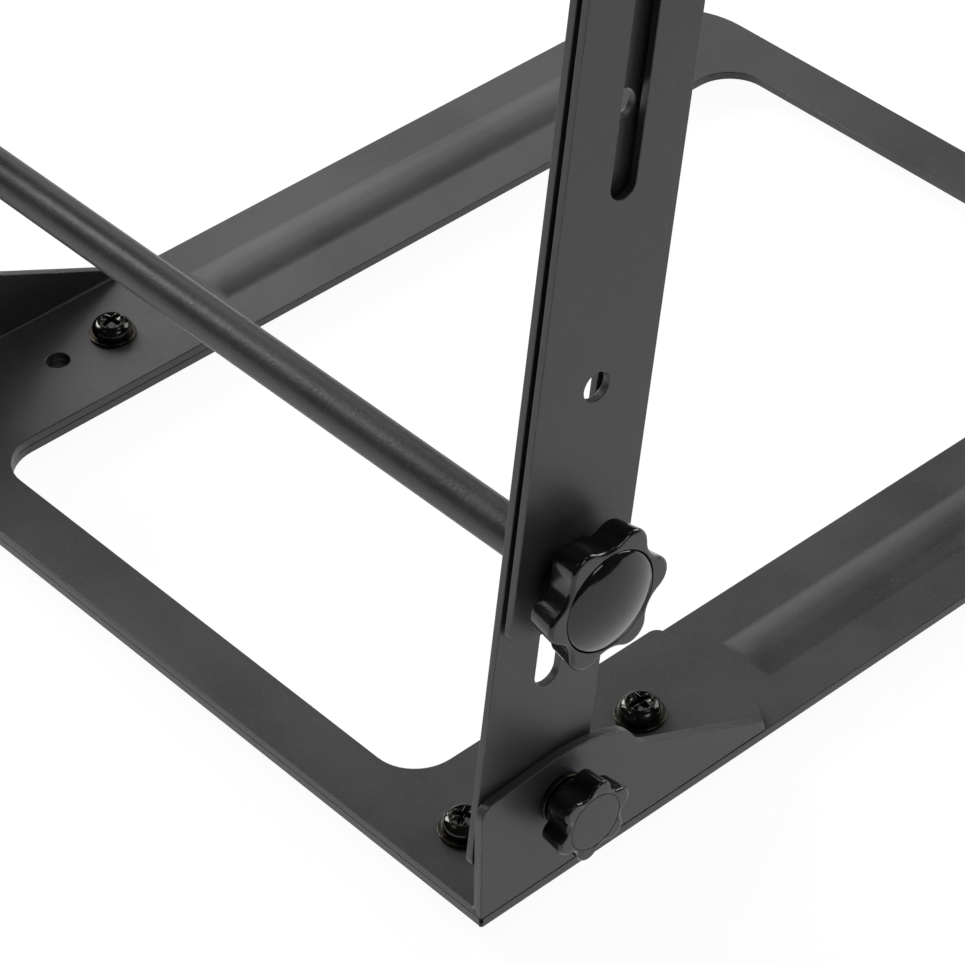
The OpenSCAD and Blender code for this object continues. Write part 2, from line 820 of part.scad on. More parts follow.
// The stud runs from the knob through both bars into the threaded plug of the tube
module clamp_stud(along, turn) {
    inside = upper_out + slip - lower_in + plug_l * 2 / 3;
    color(zinc) at_clamp(along, turn) translate([0, 0, -inside])
        cylinder(d = stud_d, h = inside + clamp_bore_end);
}

module pivot_knob(along, seat, turn) {
    color(knob_black) at_pivot_knob(along, seat, turn)
        knob_body(pivot_knob_d / 2, pivot_waist_d / 2, pivot_lobe_r, pivot_draft,
            pivot_hub_d, pivot_hub_l, pivot_head_t, pivot_cap_d,
            stud_d + 2 * (thread_gap + insert_wall + press_gap),
            pivot_bore_end);
}

module pivot_cap(along, seat, turn) {
    color(knob_black) at_pivot_knob(along, seat, turn)
        knob_cap(pivot_face, pivot_cap_d, 0);
}

module pivot_insert(along, seat, turn) {
    color(zinc) at_pivot_knob(along, seat, turn) difference() {
        cylinder(d = stud_d + 2 * (thread_gap + insert_wall), h = pivot_bore_end);
        translate([0, 0, -over])
            cylinder(d = stud_d + 2 * thread_gap, h = pivot_bore_end + 2 * over);
    }
}

// The tray's own frame, its pivot on the origin
module on_tray() {
    on_arm(tray_pivot_z) rotate([arm_lean - tray_slope, 0, 0]) children();
}

// Where the tray screws sit, on the top of the tray sheet
module at_tray_screws() {
    for (x = [-tray_screw_x, tray_screw_x], y = [tray_screw_rear_y, tray_screw_front_y])
        translate([x, y, tray_top_z]) children();
}

// A countersunk screw pointing down, its head flush with Z = 0
module sunk_screw(shank, head, depth) {
    translate([0, 0, -depth]) cylinder(d = shank, h = depth);
    translate([0, 0, -head_rim]) cylinder(d = head, h = head_rim);
    translate([0, 0, -head_rim - (head - shank) / 2])
        cylinder(d1 = shank, d2 = head, h = (head - shank) / 2);
}

module tray_screw_holes() {
    at_tray_screws() {
        sunk_screw(tray_screw_d + 2 * slip, tray_head_d + 2 * slip, bracket_t + sheet_t + over);
        cylinder(d = tray_head_d + 2 * slip, h = over);
    }
}

// The two lips: tabs at the free edge, bent up from the tray's crossbar
module tray_lips() {
    rise = sheet_t + lip_h;
    turn = bend_r + sheet_t;
    for (x = [-lip_x, lip_x])
        translate([x - lip_w / 2, tray_reach - turn, tray_plate_z]) rotate([90, 0, 90])
            linear_extrude(height = lip_w) {
                translate([-over, 0]) square([over, sheet_t]);
                translate([0, turn]) intersection() {
                    difference() {
                        circle(r = turn);
                        circle(r = bend_r);
                    }
                    translate([0, -turn]) square(turn);
                }
                translate([bend_r, turn]) square([sheet_t, rise - turn]);
            }
}

module tray_frame() {
    turn = bend_r + sheet_t;
    color(coat) on_tray() difference() {
        union() {
            translate([0, -tray_back, tray_plate_z])
                stamped_ring(tray_w, tray_d - turn, tray_bracket_d + tray_bead_gap + bead_w / 2);
            tray_lips();
        }
        tray_screw_holes();
    }
}

module tray_bracket() {
    color(coat) on_tray() difference() {
        translate([0, -tray_back, tray_plate_z]) mirror([0, 0, 1])
            eared_bracket(tray_half, tray_bracket_d, bracket_t + tray_drop + tray_ear_r,
                tray_ear_outline());
        tray_screw_holes();
        both_sides() translate([tray_in - over, 0, 0])
            rotate([0, 90, 0]) cylinder(d = pivot_hole_d, h = bracket_t + 2 * over);
    }
}

module tray_screws() {
    color(dark_steel) on_tray() at_tray_screws() difference() {
        sunk_screw(tray_screw_d, tray_head_d, sheet_t + bracket_t + tray_nut_h);
        for (turn = [0, 90]) rotate(turn)
            translate([-tray_cross_l / 2, -tray_cross_w / 2, -tray_cross_depth])
                cube([tray_cross_l, tray_cross_w, tray_cross_depth + over]);
    }
}

module tray_nuts() {
    color(zinc) on_tray() at_tray_screws() translate([0, 0, -sheet_t - bracket_t])
        nut(tray_nut_af, tray_nut_h, tray_screw_d);
}

module tray_pads() {
    color(rubber) on_tray()
        for (x = [-tray_screw_x, tray_screw_x], y = [tray_pad_rear_y, tray_pad_front_y])
            translate([x, y, tray_top_z])
                cylinder(d1 = pad_d, d2 = pad_d - pad_taper, h = pad_h);
}

// Turns of the other knobs, left as a hand would leave them
upper_clamp_turn = 22;
left_clamp_turn = 40;
tray_knob_turn = 31;
left_knob_turn = 3;

base_frame();
base_bracket();
base_screws();
base_washers();
base_nuts();
base_feet();
base_pivot_washers();
lower_bar_left();
lower_bar_right();
base_pivot_bolts();
base_pivot_shims();
upper_tube();
upper_tube_plugs();
upper_slide_washers();
upper_bar_left();
upper_bar_right();
lower_tube();
lower_tube_plugs();
lower_slide_washers();
tray_pivot_washers();
tray_frame();
tray_bracket();
tray_screws();
tray_nuts();
tray_pads();
tray_pivot_bolts();
tray_pivot_shims();

mirror([1, 0, 0]) pivot_knob(0, base_w / 2, left_knob_turn);  // base_knob_left
mirror([1, 0, 0]) pivot_cap(0, base_w / 2, left_knob_turn);  // base_knob_cap_left
mirror([1, 0, 0]) pivot_insert(0, base_w / 2, left_knob_turn);  // base_knob_insert_left
pivot_knob(0, base_w / 2, pivot_turn + arm_lean);  // base_knob_right
pivot_cap(0, base_w / 2, pivot_turn + arm_lean);  // base_knob_cap_right
pivot_insert(0, base_w / 2, pivot_turn + arm_lean);  // base_knob_insert_right

mirror([1, 0, 0]) clamp_knob(stud_z, left_clamp_turn);  // lower_clamp_knob_left
mirror([1, 0, 0]) clamp_cap(stud_z, left_clamp_turn);  // lower_clamp_cap_left
mirror([1, 0, 0]) clamp_stud(stud_z, left_clamp_turn);  // lower_clamp_stud_left
clamp_knob(stud_z, clamp_turn);  // lower_clamp_knob_right
clamp_cap(stud_z, clamp_turn);  // lower_clamp_cap_right
clamp_stud(stud_z, clamp_turn);  // lower_clamp_stud_right

mirror([1, 0, 0]) clamp_knob(tube_hole, upper_clamp_turn);  // upper_clamp_knob_left
mirror([1, 0, 0]) clamp_cap(tube_hole, upper_clamp_turn);  // upper_clamp_cap_left
mirror([1, 0, 0]) clamp_stud(tube_hole, upper_clamp_turn);  // upper_clamp_stud_left
clamp_knob(tube_hole, upper_clamp_turn);  // upper_clamp_knob_right
clamp_cap(tube_hole, upper_clamp_turn);  // upper_clamp_cap_right
clamp_stud(tube_hole, upper_clamp_turn);  // upper_clamp_stud_right

mirror([1, 0, 0]) pivot_knob(tray_pivot_z, upper_out, tray_knob_turn);  // tray_knob_left
mirror([1, 0, 0]) pivot_cap(tray_pivot_z, upper_out, tray_knob_turn);  // tray_knob_cap_left
mirror([1, 0, 0]) pivot_insert(tray_pivot_z, upper_out, tray_knob_turn);  // tray_knob_insert_left
pivot_knob(tray_pivot_z, upper_out, tray_knob_turn);  // tray_knob_right
pivot_cap(tray_pivot_z, upper_out, tray_knob_turn);  // tray_knob_cap_right
pivot_insert(tray_pivot_z, upper_out, tray_knob_turn);  // tray_knob_insert_right
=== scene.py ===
import json
import math

import bmesh
import bpy
from mathutils import Matrix, Vector


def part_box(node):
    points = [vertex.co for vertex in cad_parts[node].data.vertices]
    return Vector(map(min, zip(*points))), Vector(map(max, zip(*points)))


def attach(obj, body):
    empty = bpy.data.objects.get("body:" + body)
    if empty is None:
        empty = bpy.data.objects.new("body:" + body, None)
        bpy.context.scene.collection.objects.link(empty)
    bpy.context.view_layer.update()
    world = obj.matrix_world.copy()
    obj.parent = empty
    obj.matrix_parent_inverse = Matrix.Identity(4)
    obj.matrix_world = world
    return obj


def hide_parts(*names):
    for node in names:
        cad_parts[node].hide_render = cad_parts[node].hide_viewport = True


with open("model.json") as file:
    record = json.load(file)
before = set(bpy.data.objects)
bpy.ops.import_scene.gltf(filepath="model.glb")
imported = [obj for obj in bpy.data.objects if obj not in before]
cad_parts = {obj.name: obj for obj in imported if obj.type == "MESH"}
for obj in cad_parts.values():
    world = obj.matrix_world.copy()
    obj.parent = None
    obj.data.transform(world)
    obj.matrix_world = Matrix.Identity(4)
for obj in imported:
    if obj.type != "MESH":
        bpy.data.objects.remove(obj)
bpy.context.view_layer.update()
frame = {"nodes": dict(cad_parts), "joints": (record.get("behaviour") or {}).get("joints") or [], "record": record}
nodes = frame["nodes"]
pivots = {j["name"]: Vector(j["pos_m"]) for j in frame["joints"] if "pos_m" in j}
nodeBody = {n: b for b, held in frame["record"]["behaviour"]["bodies"].items() for n in held}
mm = 0.001
print("frame loaded:", len(nodes), "nodes")

# camera: where the photograph was taken from
photoCamera = {
    "place": (0.60022642, -0.55181495, 0.65824608),
    "across": (0.6668053, 0.7447582, -0.0265683),
    "down": (0.4644716, -0.443207, -0.7667031),
    "ahead": (-0.5827837, 0.4989015, -0.6414518),
    "lens": 147.24,
    "sensor": 36.0,
}


def makeCamera(settings):
    data = bpy.data.cameras.new("photoCamera")
    data.sensor_fit = "HORIZONTAL"
    data.sensor_width = settings["sensor"]
    data.lens = settings["lens"]
    data.clip_start = 0.01
    data.clip_end = 100
    camera = bpy.data.objects.new("photoCamera", data)
    bpy.context.scene.collection.objects.link(camera)
    across, down, ahead = (Vector(settings[k]) for k in ("across", "down", "ahead"))
    turn = Matrix((across, -down, -ahead)).transposed().to_4x4()
    camera.matrix_world = Matrix.Translation(settings["place"]) @ turn
    bpy.context.scene.camera = camera


makeCamera(photoCamera)
print("camera placed")


# a shader socket that takes Python maths
class Wire:
    def __init__(self, finish, socket):
        self.finish = finish
        self.socket = socket

    def maths(self, operation, first, second):
        return self.finish.add("ShaderNodeMath", {"operation": operation}, {0: first, 1: second})

    def __add__(self, other):
        return self.maths("ADD", self, other)

    def __radd__(self, other):
        return self.maths("ADD", other, self)

    def __sub__(self, other):
        return self.maths("SUBTRACT", self, other)

    def __rsub__(self, other):
        return self.maths("SUBTRACT", other, self)

    def __mul__(self, other):
        return self.maths("MULTIPLY", self, other)

    def __rmul__(self, other):
        return self.maths("MULTIPLY", other, self)


# a material or a world, whose nodes all come from its add
class Finish:
    def __init__(self, name, library=bpy.data.materials):
        self.block = library.new(name)
        self.block.use_nodes = True
        self.tree = self.block.node_tree
        self.tree.nodes.clear()

    def add(self, kind, settings, values, output=0):
        made = self.tree.nodes.new(kind)
        for key, value in settings.items():
            setattr(made, key, value)
        for key, value in values.items():
            if isinstance(value, Wire):
                self.tree.links.new(value.socket, made.inputs[key])
                continue
            target = made.inputs[key]
            isColour = hasattr(target.default_value, "__len__") and len(target.default_value) == 4
            target.default_value = (*value, 1) if isColour else value
        return Wire(self, made.outputs[output]) if len(made.outputs) else None

    def spot(self, shift, stretch=(1, 1, 1)):
        place = self.add("ShaderNodeTexCoord", {}, {}, "Object")
        return self.add("ShaderNodeMapping", {"vector_type": "POINT"},
                        {"Vector": place, "Location": shift, "Scale": stretch})

    def noise(self, scale, detail, rough, shift, stretch=(1, 1, 1)):
        values = {"Vector": self.spot(shift, stretch), "Scale": scale, "Detail": detail, "Roughness": rough}
        return self.add("ShaderNodeTexNoise", {"noise_dimensions": "3D"}, values, "Fac")

    def cells(self, scale, shift):
        return self.add("ShaderNodeTexVoronoi", {"feature": "F1"},
                        {"Vector": self.spot(shift), "Scale": scale}, "Distance")

    def between(self, value, low, high, toLow=0.0, toHigh=1.0):
        return self.add("ShaderNodeMapRange", {"interpolation_type": "SMOOTHSTEP"},
                        {0: value, 1: low, 2: high, 3: toLow, 4: toHigh})

    def blend(self, share, first, second):
        return self.add("ShaderNodeMix", {"data_type": "RGBA", "clamp_factor": True},
                        {0: share, 6: first, 7: second}, 2)

    def bump(self, height, strength, distance):
        return self.add("ShaderNodeBump", {}, {"Strength": strength, "Distance": distance, "Height": height})

    def close(self, values):
        shader = self.add("ShaderNodeBsdfPrincipled", {}, values)
        self.add("ShaderNodeOutputMaterial", {}, {"Surface": shader})
        return self.block


# what the four kinds of finish share; scales are in cycles per metre, depths in metres
powder = {
    "cloudScale": 22.0, "peelShare": 0.3, "lighter": 1.35, "lift": 0.004, "darker": 0.78, "grainLight": 2.2,
    # the lighter edge colour and its dashes are partly rubbed coat and partly a painted highlight along the
    # rounded edges
    "wearHighlightScale": 260.0, "wearHighlightFrom": 0.42, "wearHighlightTo": 0.72, "wearHighlightShare": 0.4, "wearHighlightColour": (0.14, 0.14, 0.14),
    "dustScale": 170.0, "dustPatches": 61.0, "dustColour": (0.3, 0.3, 0.29), "reliefDepth": 0.00012,
}
moulding = {"waveScale": 120.0, "fineScale": 2200.0, "scuffScale": 300.0, "scuffStretch": (1, 5, 1),
            "reliefDepth": 0.0001}
plating = {"cloudScale": 400.0, "fineScale": 5000.0, "relief": 0.1, "reliefDepth": 0.00008}
rubbering = {"grainScale": 1800.0, "cloudScale": 90.0, "relief": 0.3, "reliefDepth": 0.0001}
glassIndex = 1.5


def powderCoat(name, colour, grain, depth, rough, specks, shift=(0, 0, 0)):
    finish = Finish(name)
    fine = finish.noise(grain, 3.0, 0.6, shift)
    peel = finish.noise(grain * powder["peelShare"], 2.0, 0.5, shift)
    cloud = finish.noise(powder["cloudScale"], 3.0, 0.55, shift)
    lighter = tuple(c * powder["lighter"] + powder["lift"] for c in colour)
    darker = tuple(c * powder["darker"] for c in colour)
    grainTop = tuple(c * powder["grainLight"] for c in colour)
    base = finish.blend(finish.between(cloud, 0.3, 0.7), darker, lighter)
    base = finish.blend(finish.between(fine, 0.5, 0.75, 0.0, 0.55), base, grainTop)
    # lighter dashes on the bevelled edges: partly worn coat, partly a painted highlight that the rounded edges
    # would catch
    edge = finish.add("ShaderNodeAttribute", {"attribute_type": "GEOMETRY", "attribute_name": "edgeWearAndHighlight"},
                      {}, "Fac")
    wearAndHighlight = finish.noise(powder["wearHighlightScale"], 4.0, 0.7, shift)
    rubbedAndHighlit = edge * finish.between(wearAndHighlight, powder["wearHighlightFrom"], powder["wearHighlightTo"])
    base = finish.blend(rubbedAndHighlit * powder["wearHighlightShare"], base, powder["wearHighlightColour"])
    grit = finish.cells(powder["dustScale"], shift)
    patches = finish.noise(powder["dustPatches"], 1.0, 0.5, shift)
    dust = finish.between(grit, 0.05, 0.02) * finish.between(patches, 0.64, 0.7)
    base = finish.blend(dust * specks, base, powder["dustColour"])
    relief = fine * 0.55 + peel * 0.45
    return finish.close({
        "Base Color": base,
        "Roughness": finish.between(cloud * 0.6 + fine * 0.4, 0.3, 0.7, rough - 0.05, rough + 0.07)
        - rubbedAndHighlit * 0.1,
        "IOR": glassIndex,
        "Normal": finish.bump(relief, depth, powder["reliefDepth"]),
    })


def mouldedPlastic(name, colour, rough, ripple, shift=(0, 0, 0)):
    finish = Finish(name)
    wave = finish.noise(moulding["waveScale"], 2.0, 0.5, shift)
    fine = finish.noise(moulding["fineScale"], 2.0, 0.6, shift)
    scuff = finish.noise(moulding["scuffScale"], 4.0, 0.7, shift, moulding["scuffStretch"])
    base = finish.blend(finish.between(wave, 0.3, 0.7), colour, tuple(c * 1.5 for c in colour))
    return finish.close({
        "Base Color": base,
        "Roughness": finish.between(scuff, 0.45, 0.75, rough, rough + 0.1),
        "IOR": glassIndex,
        "Normal": finish.bump(wave * 0.8 + fine * 0.2, ripple, moulding["reliefDepth"]),
    })


def platedSteel(name, colour, edge, rough, shift=(0, 0, 0)):
    finish = Finish(name)
    cloud = finish.noise(plating["cloudScale"], 3.0, 0.6, shift)
    fine = finish.noise(plating["fineScale"], 2.0, 0.6, shift)
    return finish.close({
        "Base Color": finish.blend(finish.between(cloud, 0.35, 0.75), colour, edge),
        "Metallic": 1.0,
        "Roughness": finish.between(cloud, 0.3, 0.7, rough - 0.05, rough + 0.08),
        "Normal": finish.bump(fine * 0.6 + cloud * 0.4, plating["relief"], plating["reliefDepth"]),
    })


def softRubber(name, colour, shift=(0, 0, 0)):
    finish = Finish(name)
    grain = finish.noise(rubbering["grainScale"], 3.0, 0.6, shift)
    cloud = finish.noise(rubbering["cloudScale"], 3.0, 0.6, shift)
    lighter = tuple(c * 1.5 for c in colour)
    return finish.close({
        "Base Color": finish.blend(finish.between(cloud, 0.3, 0.7), colour, lighter),
        "Roughness": finish.between(grain, 0.3, 0.7, 0.68, 0.85),
        "Normal": finish.bump(grain, rubbering["relief"], rubbering["reliefDepth"]),
    })


coat = powderCoat("blackPowderCoat", (0.034, 0.034, 0.035), 1500.0, 0.4, 0.38, 0.5)
coatArms = powderCoat("blackPowderCoatArms", (0.032, 0.032, 0.033), 1500.0, 0.5, 0.38, 0.5, (0.3, 0.1, 0.7))
coatTube = powderCoat("grainedTubeCoat", (0.034, 0.034, 0.036), 1150.0, 0.9, 0.4, 0.2, (0.5, 0.2, 0.1))
knobPlastic = mouldedPlastic("glossBlackKnob", (0.006, 0.006, 0.0065), 0.15, 0.1)
capPlastic = mouldedPlastic("glossBlackCap", (0.006, 0.006, 0.007), 0.06, 0.03, (0.2, 0.6, 0.4))
screwPlate = platedSteel("blackPlatedScrew", (0.035, 0.034, 0.032), (0.055, 0.052, 0.047), 0.14)
washerPlate = platedSteel("blackPlatedWasher", (0.04, 0.036, 0.03), (0.07, 0.06, 0.045), 0.3, (0.1, 0.9, 0.3))
zincPlate = platedSteel("zincPlate", (0.5, 0.5, 0.5), (0.62, 0.61, 0.57), 0.34, (0.7, 0.3, 0.2))
brassTurned = platedSteel("turnedBrass", (0.6, 0.44, 0.2), (0.68, 0.5, 0.25), 0.3, (0.4, 0.4, 0.8))
nylonGrey = softRubber("darkNylon", (0.03, 0.03, 0.032), (0.6, 0.1, 0.2))
rubberBlack = softRubber("blackRubber", (0.02, 0.02, 0.02))
slotFinish = {
    "coat": coat, "tubes": coatTube, "knobs": knobPlastic, "caps": capPlastic, "screws": screwPlate,
    "washers": washerPlate, "zinc": zincPlate, "inserts": brassTurned, "nylon": nylonGrey,
    "rubber": rubberBlack,
}
slotOf = {s["node"]: s["material_slot"] for s in frame["record"]["subparts"]}


def finishOf(node):
    return coatArms if "_bar_" in node else slotFinish[slotOf[node]]


for node, part in nodes.items():
    part.data.materials.clear()
    part.data.materials.append(finishOf(node))
print("finishes made")


def settle(piece, body, slot, finish, *replaced):
    for face in piece.data.polygons:
        face.use_smooth = True
    piece.data.materials.clear()
    piece.data.materials.append(finish)
    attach(piece, body)
    if replaced:
        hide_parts(*replaced)


def pieceFrom(bm, name):
    mesh = bpy.data.meshes.new(name)
    bm.to_mesh(mesh)
    bm.free()
    piece = bpy.data.objects.new(name, mesh)
    bpy.context.scene.collection.objects.link(piece)
    return piece


def evenShading(piece):
    weighted = piece.modifiers.new("evenShading", "WEIGHTED_NORMAL")
    weighted.mode = "FACE_AREA"
    weighted.weight = 100
    weighted.keep_sharp = True


# sheet metal: the stamped shapes with their edges broken and coated
sheetEdges = {
    "base_frame": 0.28, "base_bracket": 0.3, "lower_bar_left": 0.25, "lower_bar_right": 0.25,
    "upper_bar_left": 0.25, "upper_bar_right": 0.25, "tray_frame": 0.28, "tray_bracket": 0.3,
    "base_washers": 0.18, "base_pivot_washers": 0.2, "tray_pivot_washers": 0.2,
    "base_nuts": 0.3, "tray_nuts": 0.25, "base_feet": 0.6, "tray_pads": 0.5, "upper_tube": 0.2,
    "lower_tube": 0.2, "base_pivot_bolts": 0.25, "tray_pivot_bolts": 0.25, "tray_screws": 0.15,
    "upper_tube_plugs": 0.2, "lower_tube_plugs": 0.2,
    "upper_slide_washers": 0.12, "lower_slide_washers": 0.12,
}
# an edge is rounded if it bends by more than leastBend degrees and is longer than its own rounding
edgeRule = {"leastBend": 30.0, "flat": 0.1, "shortest": 0.6, "steps": 3, "merge": 2e-6}


# the two stamped rings: the place and turn of each sheet's own frame, and where its beads start and stop
stampedRings = {
    "base_frame": {"pivot": (0, 0, 0), "turn": 0.0, "start": 104.5, "stop": 262.0},
    "tray_frame": {"pivot": pivots["tray_tilt"], "turn": -12.0, "start": 80.5, "stop": 197.0},
}
pressedBead = {
    "wide": 17.2, "crown": 1.2, "toe": 2.0, "high": 1.4, "inset": 20.9, "sheet": 2.5, "margin": 3.0,
    "toeSteps": 5, "slopeSteps": 14,
}
# the two bent brackets: which way the ears point from the plate
bentBrackets = {
    "base_bracket": {"pivot": (0, 0, 0), "turn": 0.0, "ears": 1},
    "tray_bracket": {"pivot": pivots["tray_tilt"], "turn": -12.0, "ears": -1},
}
bendOutside = 3.0
near = {"plane": 1e-5, "level": 0.05, "bend": 0.03, "axis": 1e-3, "even": 1e-7}


def ownFrame(sheet):
    # from the sheet's own frame, in millimetres, to the stand's
    return (Matrix.Translation(sheet["pivot"]) @ Matrix.Rotation(math.radians(sheet["turn"]), 4, "X")
            @ Matrix.Scale(mm, 4))


def corners(bm):
    return [Vector(tuple(pick(v.co[axis] for v in bm.verts) for axis in range(3))) for pick in (min, max)]


def beadRise(reach, bead):
    slope = (bead["wide"] - bead["crown"]) / 2
    toe = bead["toe"] / slope
    share = min(1.0, reach / slope)
    if share < toe:
        return bead["high"] * share ** 2 / toe
    return bead["high"] * (1 - (1 - share) ** 2 / (1 - toe))


# one skin of a bead: a grid on the sheet's level, raised and split along its mitres
def beadSkin(bm, bead, middle, start, stop, level):
    wide, slope, toe = bead["wide"], (bead["wide"] - bead["crown"]) / 2, bead["toe"]
    reaches = [toe * i / bead["toeSteps"] for i in range(bead["toeSteps"])]
    reaches += [toe + (slope - toe) * i / bead["slopeSteps"] for i in range(bead["slopeSteps"] + 1)]
    across = reaches + [wide - r for r in reversed(reaches)]
    along = reaches + [stop - start - r for r in reversed(reaches)]
    grid = [[bm.verts.new((middle - wide / 2 + x, start + y,
                           level + beadRise(min(x, wide - x, y, stop - start - y), bead)))
             for x in across] for y in along]
    for lower, upper in zip(grid, grid[1:]):
        for i in range(len(across) - 1):
            a, b, c, d = lower[i], lower[i + 1], upper[i + 1], upper[i]
            if abs(a.co.z + c.co.z - b.co.z - d.co.z) < near["even"]:
                bm.faces.new((a, b, c, d))
            elif abs(a.co.z - c.co.z) > abs(b.co.z - d.co.z):
                bm.faces.new((a, b, c))
                bm.faces.new((a, c, d))
            else:
                bm.faces.new((a, b, d))
                bm.faces.new((b, c, d))


def pressBeads(bm, ring, bead):
    # a rectangle is cut out of both faces of the sheet and filled with the bead's skins
    place = ownFrame(ring)
    bmesh.ops.transform(bm, matrix=place.inverted(), verts=bm.verts)
    low, high = corners(bm)
    for side in (-1, 1):
        middle = side * (high.x - bead["inset"])
        start, stop = low.y + ring["start"], low.y + ring["stop"]
        reach = bead["wide"] / 2 + bead["margin"]
        west, east = middle - reach, middle + reach
        south, north = start - bead["margin"], stop + bead["margin"]
        for spot, way in (((west, 0, 0), (1, 0, 0)), ((east, 0, 0), (1, 0, 0)),
                          ((0, south, 0), (0, 1, 0)), ((0, north, 0), (0, 1, 0))):
            bmesh.ops.bisect_plane(bm, geom=bm.verts[:] + bm.edges[:] + bm.faces[:], dist=near["plane"],
                                   plane_co=spot, plane_no=way)
        centres = [(f, f.calc_center_median()) for f in bm.faces]
        bmesh.ops.delete(bm, context="FACES", geom=[
            f for f, at in centres if west < at.x < east and south < at.y < north])
        for level in (low.z, low.z + bead["sheet"]):
            beadSkin(bm, bead, middle, start, stop, level)
            rims = [e for e in bm.edges if e.is_boundary
                    and all(abs(v.co.z - level) < near["level"] for v in e.verts)]
            bmesh.ops.triangle_fill(bm, edges=rims, use_beauty=True, use_dissolve=False, normal=(0, 0, 1))
    bmesh.ops.transform(bm, matrix=place, verts=bm.verts)
    bmesh.ops.recalc_face_normals(bm, faces=bm.faces)


def squareBend(bm, bracket):
    # the press coins the outside of the bend up to a corner
    place = ownFrame(bracket)
    bmesh.ops.transform(bm, matrix=place.inverted(), verts=bm.verts)
    low, high = corners(bm)
    for vert in bm.verts:
        out = abs(vert.co.x) - (high.x - bendOutside)
        down = low.z + bendOutside - vert.co.z if bracket["ears"] > 0 else vert.co.z - (high.z - bendOutside)
        offArc = abs(math.hypot(out, down) - bendOutside)
        if min(out, down) > near["axis"] and offArc < near["bend"]:
            grow = bendOutside / max(out, down) - 1
            vert.co.x += math.copysign(out * grow, vert.co.x)
            vert.co.z -= down * grow * bracket["ears"]
    bmesh.ops.transform(bm, matrix=place, verts=bm.verts)


def brokenEdges(node, width):
    bm = bmesh.new()
    bm.from_mesh(nodes[node].data)
    bmesh.ops.remove_doubles(bm, verts=bm.verts, dist=edgeRule["merge"])
    if node in stampedRings:
        pressBeads(bm, stampedRings[node], pressedBead)
    if node in bentBrackets:
        squareBend(bm, bentBrackets[node])
    bmesh.ops.dissolve_limit(bm, angle_limit=math.radians(edgeRule["flat"]), verts=bm.verts, edges=bm.edges)
    # the bevel faces are marked for the lighter edge colour, which is partly wear and partly a painted highlight
    wearAndHighlight = bm.loops.layers.float.new("edgeWearAndHighlight")
    # the shortest edges stay, as a bevel there would overshoot its neighbours
    leastBend, shortest = math.radians(edgeRule["leastBend"]), edgeRule["shortest"] * width * mm
    sharp = [e for e in bm.edges
             if e.is_manifold and e.calc_face_angle() > leastBend and e.calc_length() > shortest]
    cut = bmesh.ops.bevel(bm, geom=sharp, offset=width * mm, offset_type="OFFSET", affect="EDGES",
                          segments=edgeRule["steps"], profile=0.5, material=-1, clamp_overlap=False)
    for face in cut["faces"]:
        for loop in face.loops:
            loop[wearAndHighlight] = 1.0
    piece = pieceFrom(bm, node + "_coated")
    settle(piece, nodeBody[node], slotOf[node], finishOf(node), node)
    evenShading(piece)


for node, width in sheetEdges.items():
    brokenEdges(node, width)
print("edges broken:", len(sheetEdges), "nodes")

# star knobs: a draughted star head on a hub, with a cap let into its face
clampKnob = {
    "tip": 17.4, "waist": 14.0, "lobe": 4.6, "draft": 1.0, "edge": 1.1, "hub": 9.5, "hubLong": 4.1,
    "head": 8.0, "seat": 12.72, "cap": 12.66, "rise": 3.6, "lobes": 6, "around": 180,
}
pivotKnob = {
    "tip": 10.9, "waist": 8.4, "lobe": 2.9, "draft": 0.5, "edge": 0.8, "hub": 6.0, "hubLong": 2.9,
    "head": 7.0, "seat": 7.42, "cap": 7.36, "rise": 0.0, "lobes": 6, "around": 180,
}


def starRadius(angle, knob):
    half = math.pi / knob["lobes"]
    out = knob["tip"] - knob["lobe"]
    waist, lobe = knob["waist"], knob["lobe"]
    flute = (out ** 2 + waist ** 2 - 2 * out * waist * math.cos(half) - lobe ** 2) / (
        2 * (lobe + out * math.cos(half) - waist))
    turn = abs((angle + half) % (2 * half) - half)
    share = lobe / (lobe + flute)
    meetX = out + share * ((waist + flute) * math.cos(half) - out)
    meetY = share * (waist + flute) * math.sin(half)
    if turn < math.atan2(meetY, meetX):
        return out * math.cos(turn) + math.sqrt(lobe ** 2 - (out * math.sin(turn)) ** 2)
    far = waist + flute
    return far * math.cos(half - turn) - math.sqrt(flute ** 2 - (far * math.sin(half - turn)) ** 2)


# the circle that a turned or moulded shape grows from: its verts and their angles, and its edges
def firstRing(bm, around):
    bmesh.ops.create_circle(bm, cap_ends=False, segments=around, radius=1.0)
    loop = inOrder(bm.verts)
    return loop, [math.atan2(v.co.y, v.co.x) for v in loop], bm.edges[:]


def inOrder(verts):
    return sorted(verts, key=lambda v: math.atan2(v.co.y, v.co.x))


def nextRing(bm, edges):
    grown = bmesh.ops.extrude_edge_only(bm, edges=edges)["geom"]
    return (inOrder(g for g in grown if isinstance(g, bmesh.types.BMVert)),
            [g for g in grown if isinstance(g, bmesh.types.BMEdge)])


def closeEnds(bm, first, last):
    for rim in (first, last):
        bmesh.ops.contextual_create(bm, geom=rim)
    bmesh.ops.recalc_face_normals(bm, faces=bm.faces)


# stacks rings over a circle: each ring is (height, radius or None, inset of the star)
def stackRings(bm, rings, knob):
    loop, angles, edges = firstRing(bm, knob["around"])
    first = edges
    for step, (height, radius, inset) in enumerate(rings):
        if step:
            loop, edges = nextRing(bm, edges)
        for vert, angle in zip(loop, angles):
            reach = radius if radius is not None else starRadius(angle, knob) - inset
            vert.co = Vector((math.cos(angle), math.sin(angle), 0)) * reach + Vector((0, 0, height))
    closeEnds(bm, first, edges)


def rounding(height, inset, edge, turnIn, steps=5):
    # ring heights and insets round an edge, up to or down from the face at height
    made = []
    for step in range(steps + 1):
        a = math.pi / 2 * step / steps
        if turnIn:
            made.append((height - edge + edge * math.sin(a), None, inset + edge - edge * math.cos(a)))
        else:
            made.append((height + edge - edge * math.cos(a), None, inset + edge - edge * math.sin(a)))
    return made


